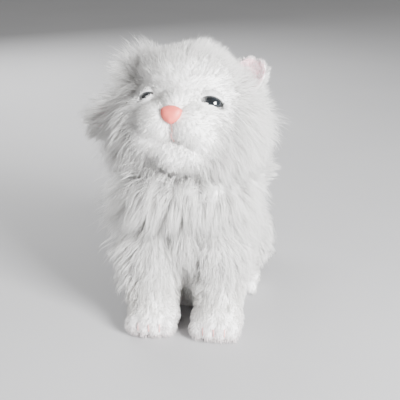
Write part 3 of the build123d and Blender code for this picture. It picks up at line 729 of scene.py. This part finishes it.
def head_style(points, normals):
    """Short pile on the muzzle and round the eyes, long at cheeks, throat, crown and the flopped ear."""
    # The zones back, cheek, curtain, tuft, crown, throat, flare and notch each run from 0 to 1.
    local = to_head(points)
    side_of = np.sign(local[:, 0] + 1e-6)
    across = np.abs(local[:, 0])
    from_nose = np.linalg.norm(local - nose_spot, axis=1)
    back = ramp(local[:, 1], -34, 4)
    cheek = ramp(across, 24, 42) * ramp(-local[:, 2], -18, 6)
    curtain = ramp(-local[:, 0], 26, 42) * ramp(-local[:, 2], -4, 14) * ramp(local[:, 1], -26, -10)
    tuft = np.exp(-((local[:, 0] - 11) / 11) ** 2) * ramp(local[:, 2], 26, 38) * ramp(-local[:, 1], -16, 4)
    crown = ramp(local[:, 2], 16, 40)
    throat = ramp(-local[:, 2], 26, 40) * ramp(local[:, 1], -34, -20)
    length = 4.2 + 9 * ramp(from_nose, 30, 58) + 14 * cheek + 8 * back + 4 * crown + 14 * throat
    tufted = ramp(-local[:, 0], 16, 32)
    length = np.minimum(length, 30) * (1 - 0.50 * ramp(local[:, 2], 18, 38) * (1 - tufted))
    length = length + 10 * curtain + 4 * tuft
    outward = local - nose_spot
    outward[:, 1] += 6
    lie = unit(outward) @ HEAD.T
    droop = np.stack([side_of * 0.55, flat(0.1, points), flat(-0.9, points)], axis=1)
    lie = unit(lie * (1 - 0.65 * cheek)[:, None] + droop * cheek[:, None])
    flare = (local[:, 0] < -22) * ramp(local[:, 1], -30, -8) * ramp(local[:, 2], -16, 6)
    flare_lie = np.array([-0.9, -0.1, 0.45])
    curtain_lie = np.array([-0.75, 0.0, -0.35])
    tuft_lie = np.array([0.6, -0.45, 0.5])
    lie = unit(lie * (1 - 0.85 * flare)[:, None] + flare_lie * flare[:, None])
    lie = unit(lie + curtain_lie * curtain[:, None] + tuft_lie * tuft[:, None])
    notch = np.exp(-((local[:, 2] - 8) / 7) ** 2) * ramp(-local[:, 0], 30, 40)
    length = length + 15 * flare * (1 - 0.7 * ramp(local[:, 2], 26, 40)) * (1 - 0.8 * notch)
    near_eye = np.min([np.linalg.norm(local - spot, axis=1) for spot in eye_spots.values()], axis=0)
    length = length * (0.35 + 0.65 * ramp(near_eye, 10, 18))
    on_muzzle = 1 - ramp(from_nose, 24, 36)
    lift = 0.55 + 0.5 * on_muzzle + 0.5 * flare + 0.35 * curtain + 0.5 * tuft
    keep = ramp(near_eye, 9.4, 10.6) * (from_nose > 6.5)
    for spot in eye_spots.values():
        _, _, ahead, sideways, in_window = eye_opening(local, spot)
        near = (np.linalg.norm(sideways, axis=1) < 10.0) & (ahead > -12) & (ahead < 5)
        keep = keep * ~(in_window & near)
    line_gap = stitch_distance(local)
    keep = keep * (line_gap > 0.9)
    length = length * (0.5 + 0.5 * ramp(line_gap, 0.9, 3.0))
    return {
        "length": length, "lie": lie, "lift": lift, "keep": keep,
        "weight": 0.12 + 0.55 * cheek + 0.5 * throat - 0.1 * flare - 0.25 * curtain,
        "lock": 0.25 + 0.35 * ramp(length, 6, 18),
        "mess": 0.10 + 0.30 * ramp(length, 6, 20),
        "wave": 0.02 + 0.05 * ramp(length, 8, 22),
        "fly": 0.02 + 0.07 * ramp(length, 8, 22),
        "thick": 0.145 + 0.03 * ramp(length, 6, 20),
        "tint": 0.10 * on_muzzle,
    }


def chin_style(points, normals):
    """Short pile that lies down and back, longer under the jaw."""
    local = to_head(points)
    lie = np.tile(np.array([0.0, 0.4, -0.9]) @ HEAD.T, (len(points), 1))
    return {
        "length": 4.5 + 6 * ramp(local[:, 1], -30, -20), "lie": lie, "lift": 0.9,
        "weight": 0.2, "lock": 0.25, "mess": 0.12, "wave": 0.02, "fly": 0.02, "thick": 0.2,
    }


bare_bed_r = 23.0
opening_rim = 1.5
opening_top_z = 24
short_pile_y = -77


def torso_style(points, normals):
    """Long pile over back, chest and flanks; short by the floor; none at the opening and shoulder beds."""
    mm = points / MM
    chest = ramp(-mm[:, 1], 58, 84) * ramp(mm[:, 2], 56, 80)
    flank = ramp(np.abs(mm[:, 0]), 22, 38)
    fringe = ramp(-mm[:, 1], 84, 98) * (1 - ramp(mm[:, 2], 78, 92))
    shaggy = ramp(-mm[:, 0], 10, 30) * ramp(-mm[:, 1], 30, 60)
    length = 18 + 8 * chest + 4 * ramp(mm[:, 1], 5, 35) + 4 * flank + 6 * fringe + 14 * shaggy
    length = length * (0.35 + 0.65 * ramp(mm[:, 2], 4, 26))
    rearward = np.stack([mm[:, 0] * 0.010, flat(0.75, points), flat(-0.55, points)], axis=1)
    downward = np.stack([mm[:, 0] * 0.012, flat(-0.12, points), flat(-1, points)], axis=1)
    lie = unit(rearward * (1 - chest)[:, None] + downward * chest[:, None])
    across_opening = np.abs(mm[:, 0]) < opening_half_x + opening_rim
    along_opening = (mm[:, 1] > opening_y[0] - opening_rim) & (mm[:, 1] < opening_y[1] + opening_rim)
    under = across_opening & along_opening & (mm[:, 2] < opening_top_z)
    beside = np.abs(mm[:, 0]) > web_half_x
    bed = (np.hypot(mm[:, 1] - shoulder_y, mm[:, 2] - shoulder_z) < bare_bed_r) & beside
    low_front = (mm[:, 2] < shoulder_z) & (mm[:, 1] < short_pile_y) & beside
    belly = (1 - ramp(mm[:, 2], 14, 42)) * ramp(-mm[:, 1], 30, 46)
    length = np.where(low_front, 3.2, length * (1 - 0.6 * belly))
    lift = 0.55 + 0.35 * flank + 0.25 * fringe + 0.7 * shaggy
    keep = (~under) & (~bed) & (normals[:, 2] > -0.95)
    return {
        "length": length, "lie": lie, "lift": lift, "keep": keep,
        "weight": 0.40 + 0.3 * chest, "lock": 0.58, "mess": 0.34 + 0.12 * flank,
        "wave": 0.06 + 0.06 * chest, "fly": 0.07, "thick": 0.17,
        "tint": 0.12 * ramp(-mm[:, 2], -70, -20),
    }


def ruff_style(points, normals):
    """Locks that hang outward round the neck, longest on the cat's right, raised at the front's top."""
    mm = points / MM
    outward = unit(np.stack([mm[:, 0], mm[:, 1] - neck_y, flat(0, points)], axis=1))
    shaggy = ramp(-mm[:, 0], 4, 20)
    front = ramp(neck_y - mm[:, 1], 4, 26)
    top = ramp(mm[:, 2], ruff_z, ruff_z + 6) * (1 - front)
    spread = 0.9 + 0.5 * shaggy + 0.6 * top - 0.55 * front
    lie = unit(outward * spread[:, None] + np.array([0, -0.1, -0.6]))
    lift = (0.7 + 0.4 * shaggy + 1.0 * top) * (1 - 0.6 * front)
    lift = lift + 1.1 * front * ramp(mm[:, 2], ruff_z + 3, ruff_z + 8)
    return {
        "length": 27 + 13 * shaggy - 7 * top - 2 * front, "lie": lie, "lift": lift,
        "keep": np.sum(outward * normals, axis=1) > -0.2,
        "lock": 0.62, "mess": 0.35, "wave": 0.09, "fly": 0.06, "thick": 0.19,
    }


toe_gaps = (-8.1, 0.0, 8.1)


def toe_gap(mm):
    """Distance sideways from the nearest toe stitch, on the front of a front paw."""
    across = np.abs(mm[:, 0]) - leg_x
    gaps = np.min([np.abs(across - x) for x in toe_gaps], axis=0)
    return gaps + 50 * ((mm[:, 1] > -118) | (mm[:, 2] > 16) | (mm[:, 2] < 5.5))


def leg_style(points, normals):
    """Short pile on the paw that grows longer up the leg, shaggy on the cat's outer right."""
    mm = points / MM
    high = ramp(mm[:, 2], 12, 48)
    outer = ramp(-mm[:, 0], 30, 40) * high
    length = 4.0 + 7.5 * high + 5 * ramp(mm[:, 2], 50, 64) + 13 * outer
    lie = unit(np.stack([normals[:, 0] * 0.35, normals[:, 1] * 0.25 - 0.05, flat(-1, points)], axis=1))
    return {
        "length": length, "lie": lie, "lift": 0.8 + 0.15 * (1 - high) + 0.4 * outer,
        "keep": (mm[:, 2] > 0.8) & (toe_gap(mm) > 0.8),
        "weight": 0.10 + 0.15 * high, "lock": 0.2 + 0.28 * high, "mess": 0.14 + 0.22 * high,
        "wave": 0.02 + 0.06 * high, "fly": 0.01 + 0.06 * high, "thick": 0.18 + 0.02 * high,
        "tint": 0.30 * ramp(-mm[:, 2], -60, -20),
    }


def upper_leg_style(points, normals):
    """The leg's pile above the paw."""
    look = leg_style(points, normals)
    look["keep"] = look["keep"] * ramp(points[:, 2] / MM, 14, 20)
    return look


def paw_style(points, normals):
    """The leg's pile on the paw, pinker towards the floor."""
    look = leg_style(points, normals)
    height = points[:, 2] / MM
    look["keep"] = look["keep"] * (1 - ramp(height, 14, 20))
    look["tint"] = 0.45 * (1 - ramp(height, 2, 12))
    return look


def hind_style(points, normals):
    """Short pile on the foot, long on the thigh, combed back."""
    mm = points / MM
    high = ramp(mm[:, 2], 14, 32)
    length = 3.6 + 14 * high
    lie = unit(np.stack([normals[:, 0] * 0.25, flat(0.35, points), flat(-0.8, points)], axis=1))
    return {
        "length": length, "lie": lie, "lift": 0.5 + 0.3 * (1 - high), "keep": mm[:, 2] > 0.8,
        "weight": 0.15 + 0.35 * high, "lock": 0.2 + 0.45 * high, "mess": 0.12 + 0.24 * high,
        "wave": 0.02 + 0.04 * high, "fly": 0.01 + 0.04 * high, "thick": 0.20 + 0.04 * high,
        "tint": 0.15 * (1 - high),
    }


def tail_style(points, normals):
    """Long pile combed to the tail's tip."""
    along = unit(tail_end - tail_start)
    lie = unit(np.tile(along, (len(points), 1)) + normals * 0.3)
    return {"length": 17, "lie": lie, "lift": 0.5, "weight": 0.25, "mess": 0.3, "thick": 0.25}


def fur(name, base, body, count, style, material, seed, clear_of=()):
    share = 1.0
    return grow(name, base, body, int(count * share), style, material, seed, clear_of)


for letter, seed in (("a", 11), ("b", 12), ("c", 17)):
    fur(f"head_fur_{letter}", head_base, "head", 8200, head_style, fur_white, seed, head_blobs)
fur("chin_fur", chin_base, "jaw", 1500, chin_style, fur_white, 13)
for letter, seed in (("a", 14), ("b", 15), ("c", 18)):
    fur(f"body_fur_{letter}", torso_base, "body", 9000, torso_style, fur_white, seed, torso_blobs)
fur("neck_fur", ruff_base, "neck", 7600, ruff_style, fur_white, 16, torso_blobs[3:4])
for offset, (side, (leg_base, leg_blobs, hind_base, hind_blobs)) in enumerate(legs.items()):
    fur(f"{side}_front_leg_fur", leg_base, f"{side}_leg", 6600, upper_leg_style, fur_white, 21 + offset,
        leg_blobs)
    fur(f"{side}_front_paw_pile", leg_base, f"{side}_leg", 8000, paw_style, fur_paw, 25 + offset)
    fur(f"{side}_hind_leg_fur", hind_base, "body", 3200, hind_style, fur_white, 31 + offset,
        hind_blobs + torso_blobs[:2])
fur("tail_fur", tail_base, "tail", 2200, tail_style, fur_white, 41, tail_blobs[::2])

# ---------------------------------------------------------------- nose, stitches and eyelids


def mesh_object(name, verts, faces, materials):
    """A smooth-shaded object from vertices and faces."""
    mesh = bpy.data.meshes.new(name)
    mesh.from_pydata([tuple(v) for v in verts], [], faces)
    for polygon in mesh.polygons:
        polygon.use_smooth = True
    for material in materials:
        mesh.materials.append(material)
    obj = bpy.data.objects.new(name, mesh)
    bpy.context.scene.collection.objects.link(obj)
    return obj


def make_nose():
    """Rounded inverted triangle with a domed front and a turned-in edge."""
    around, rings = 48, 12
    half_x, half_z, dome, tuck = 7.8, 6.6, 5.2, 2.0
    base_y = nose_spot[1] + dome
    side_angles = [math.radians(a) for a in (90, 210, 330)]
    verts = []
    for ring in range(1, rings + 1):
        f = ring / rings
        for i in range(around):
            angle = 2 * math.pi * i / around
            reach = sum(max(0.0, math.cos(angle - s)) ** 5 for s in side_angles) ** (-1 / 5)
            reach = 0.24 * reach + 0.75
            x = half_x * f * reach * math.cos(angle)
            z = half_z * f * reach * math.sin(angle)
            y = -dome * (1 - f ** 2.6) ** 0.5 if ring < rings else tuck
            verts.append((nose_spot[0] + x, base_y + y, nose_spot[2] + z))
    verts.append((nose_spot[0], base_y - dome, nose_spot[2]))
    verts.append((nose_spot[0], base_y + tuck, nose_spot[2]))
    tip, back = len(verts) - 2, len(verts) - 1
    faces = []
    for i in range(around):
        n = (i + 1) % around
        faces.append((tip, i, n))
        faces.append((back, (rings - 1) * around + n, (rings - 1) * around + i))
        for ring in range(rings - 1):
            a = ring * around
            faces.append((a + i, a + around + i, a + around + n, a + n))
    nose = mesh_object("nose_skin", from_head(verts), faces, [nose_pink])
    rounder = nose.modifiers.new("round", "SUBSURF")
    rounder.levels = rounder.render_levels = 1
    final = evaluated_copy(nose)
    nose.modifiers.clear()
    nose.data = final
    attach(nose, "head")
    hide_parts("nose")


ray_start = 60 * MM


def surface_point(tree, place, direction, proud):
    """Point on a skin, found by looking along direction from outside it, raised by proud millimetres."""
    start = Vector(place) - Vector(direction) * ray_start
    spot, normal, _, _ = tree.ray_cast(start, Vector(direction))
    if spot is None:
        return np.array(place)
    return np.array(spot + normal * proud * MM)


def make_stitches(name, base, body, lines, direction, radius, proud, material):
    """Embroidered lines that lie on a skin, one tube of thread for each line."""
    corners = [v.co for v in base.data.vertices]
    tree = BVHTree.FromPolygons(corners, [p.vertices for p in base.data.polygons])
    curve = bpy.data.curves.new(name, "CURVE")
    curve.dimensions = "3D"
    curve.bevel_depth = radius * MM
    curve.bevel_resolution = 2
    curve.use_fill_caps = True
    for line in lines:
        fine = []
        for start, end in zip(line[:-1], line[1:]):
            for f in np.linspace(0, 1, 5)[:-1]:
                fine.append(np.array(start) * (1 - f) + np.array(end) * f)
        fine.append(np.array(line[-1]))
        spline = curve.splines.new("POLY")
        spline.points.add(len(fine) - 1)
        for point, place in zip(spline.points, fine):
            point.co = (*surface_point(tree, place, direction, proud), 1)
    tubes = bpy.data.objects.new(name, curve)
    bpy.context.scene.collection.objects.link(tubes)
    mesh = evaluated_copy(tubes)
    bpy.data.objects.remove(tubes)
    mesh.name = name
    mesh.materials.clear()
    mesh.materials.append(material)
    threads = bpy.data.objects.new(name, mesh)
    bpy.context.scene.collection.objects.link(threads)
    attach(threads, body)


make_nose()
mouth_world = [[from_head(point) for point in line] for line in mouth_lines]
make_stitches("mouth_stitches", head_base, "head", mouth_world, HEAD[:, 1], 0.55, 1.6, stitch_pink)
paw_front_y = -130
for side, (leg_base, _, _, _) in legs.items():
    middle_x = leg_x * sides[side]
    toes = [[((middle_x + x) * MM, paw_front_y * MM, z * MM) for z in (13, 10, 7)] for x in toe_gaps]
    make_stitches(f"{side}_toe_stitches", leg_base, f"{side}_leg", toes, (0, 1, 0), 0.45, 0.5, stitch_pink)


def lid_style(points, normals):
    """Very short pile on the outside of an eyelid."""
    local = to_head(points)
    spots = np.array(list(eye_spots.values()))
    gaps = np.linalg.norm(local[:, None, :] - spots[None], axis=2)
    away = local - spots[gaps.argmin(axis=1)]
    lie = np.tile(np.array([0.0, 0.3, 0.9]) @ HEAD.T, (len(points), 1))
    return {
        "length": 2.0, "lie": lie, "lift": 0.6, "keep": np.linalg.norm(away, axis=1) > 9.2,
        "weight": 0.0, "lock": 0.3, "mess": 0.1, "fly": 0.0, "thick": 0.18,
    }


for number, side in enumerate(sides):
    eyelid = bpy.data.objects[f"{side}_eyelid"]
    fur(f"{side}_eyelid_fur", eyelid, "eyelids", 700, lid_style, fur_white, 51 + number)

# ---------------------------------------------------------------- ears


def make_ear(side, root, along, facing, length, width, bend, fringe, seed):
    """Cupped flap: pink plush inside, white outside with a fringe, and tufts on the flopped ear."""
    along = unit(np.array(along, float))
    across = unit(np.cross(along, facing))
    facing = unit(np.cross(across, along))
    columns, rows = 17, 15
    verts = []
    for row in range(rows):
        v = row / (rows - 1)
        if v > 0.45:
            half = (1 - ((v - 0.45) / 0.56) ** 3.2) ** 0.5
        else:
            half = 0.82 + 0.18 * v / 0.45
        for column in range(columns):
            u = 2 * column / (columns - 1) - 1
            cup = 4.5 * u * u * (1 - 0.5 * v) - bend * v * v
            verts.append(np.array(root) + along * length * v + across * u * half * width / 2 + facing * cup)
    faces = []
    for row in range(rows - 1):
        for column in range(columns - 1):
            a = row * columns + column
            faces.append((a, a + 1, a + 1 + columns, a + columns))
    flap = mesh_object(f"{side}_ear_flap", from_head(verts), faces, [backing_pink, backing_white])
    solid = flap.modifiers.new("thick", "SOLIDIFY")
    solid.thickness = 2.2 * MM
    solid.offset = -1
    solid.material_offset = 1
    solid.material_offset_rim = 1
    rounder = flap.modifiers.new("round", "SUBSURF")
    rounder.levels = rounder.render_levels = 1
    final = evaluated_copy(flap)
    flap.modifiers.clear()
    flap.data = final
    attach(flap, "head")
    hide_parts(f"{side}_ear")
    inward = facing @ HEAD.T
    growth = along @ HEAD.T
    start = from_head(root)

    def inner(points, normals):
        """Short pink pile in the cup."""
        return {
            "length": 2.6, "lie": np.tile(growth, (len(points), 1)), "lift": 0.9,
            "keep": normals @ inward > 0.35,
            "weight": 0.1, "lock": 0.25, "mess": 0.15, "fly": 0.0, "thick": 0.2,
        }

    def outer(points, normals):
        """White pile on the back and rim, longest at the root."""
        out = points - start
        sideways = out - np.outer(out @ growth, growth)
        lie = unit(np.tile(growth, (len(points), 1)) + unit(sideways) * 0.5)
        reach = (out @ growth) / (length * MM)
        return {
            "length": fringe + 5 * (1 - np.clip(reach, 0, 1)), "lie": lie, "lift": 0.35,
            "keep": normals @ inward < 0.25, "weight": 0.2, "lock": 0.5, "mess": 0.3,
        }

    fur(f"{side}_ear_inner_pile", flap, "head", 2600, inner, fur_ear, seed)
    fur(f"{side}_ear_fringe", flap, "head", 2400, outer, fur_white, seed + 1)

    def tufts(points, normals):
        """Loose long strands towards the tip."""
        reach = ((points - start) @ growth) / (length * MM)
        lie = unit(np.tile(growth, (len(points), 1)) + np.array([0, -0.25, -0.15]))
        return {
            "length": 10 + 6 * ramp(reach, 0.3, 0.9), "lie": lie, "lift": 0.5,
            "keep": ramp(reach, 0.0, 0.5), "weight": -0.25, "lock": 0.7, "mess": 0.5,
            "wave": 0.12, "fly": 0.15, "thick": 0.18,
        }

    if side == "right":
        fur("right_ear_tufts", flap, "head", 1500, tufts, fur_white, seed + 2)


make_ear("left", root=(36, 2, 19), along=(0.30, 0.0, 0.95), facing=(0.05, -1.0, 0.1),
         length=27, width=22, bend=2, fringe=4, seed=61)
make_ear("right", root=(-40, 2, 4), along=(-0.93, -0.1, -0.30), facing=(-0.1, -0.9, 0.35),
         length=40, width=26, bend=6, fringe=14, seed=71)

# ---------------------------------------------------------------- stage, light and camera


def add_floor():
    """A plain painted floor."""
    mesh = bpy.data.meshes.new("studio_floor")
    half = 3.0
    edge = [(-half, -half, 0), (half, -half, 0), (half, half, 0), (-half, half, 0)]
    mesh.from_pydata(edge, [], [(0, 1, 2, 3)])
    floor = bpy.data.objects.new("studio_floor", mesh)
    bpy.context.scene.collection.objects.link(floor)
    shader = Shader("floor_paint", 0.75)
    drift = shader.noise(3.0, 3.0)
    shader.base(shader.colours(drift, (0.3, (0.40, 0.40, 0.41)), (0.7, (0.43, 0.43, 0.44))))
    mesh.materials.append(shader.material)


def add_light(name, place, target, size, power):
    """A square area light that faces target."""
    light = bpy.data.lights.new(name, "AREA")
    light.size = size
    light.energy = power
    lamp = bpy.data.objects.new(name, light)
    lamp.location = place
    lamp.rotation_euler = (Vector(target) - Vector(place)).to_track_quat("-Z", "Y").to_euler()
    bpy.context.scene.collection.objects.link(lamp)


def add_camera(azimuth, elevation, distance, target, lens):
    """The camera, placed by angles in degrees round target; azimuth 0 is in front of the cat."""
    a, e = math.radians(azimuth), math.radians(elevation)
    back = Vector((math.sin(a) * math.cos(e), -math.cos(a) * math.cos(e), math.sin(e)))
    camera = bpy.data.objects.new("camera", bpy.data.cameras.new("camera"))
    camera.data.lens = lens
    camera.data.sensor_width = 36
    camera.location = Vector(target) + back * distance
    camera.rotation_euler = back.to_track_quat("Z", "Y").to_euler()
    bpy.context.scene.collection.objects.link(camera)
    bpy.context.scene.camera = camera


add_floor()
middle = (0.0, -0.06, 0.11)
add_light("key", (0.82, -0.82, 0.50), middle, size=0.45, power=76.0)
add_light("fill", (-0.8, -0.5, 0.5), middle, size=0.8, power=1.0)
add_light("rim", (-0.55, 0.75, 0.65), middle, size=0.7, power=16.0)
world = bpy.data.worlds.new("studio")
world.use_nodes = True
background = world.node_tree.nodes["Background"]
background.inputs["Color"].default_value = (0.88, 0.875, 0.86, 1)
background.inputs["Strength"].default_value = 0.42
bpy.context.scene.world = world
add_camera(azimuth=9.3, elevation=20, distance=0.72, target=(0.005, -0.075, 0.094), lens=82.5)
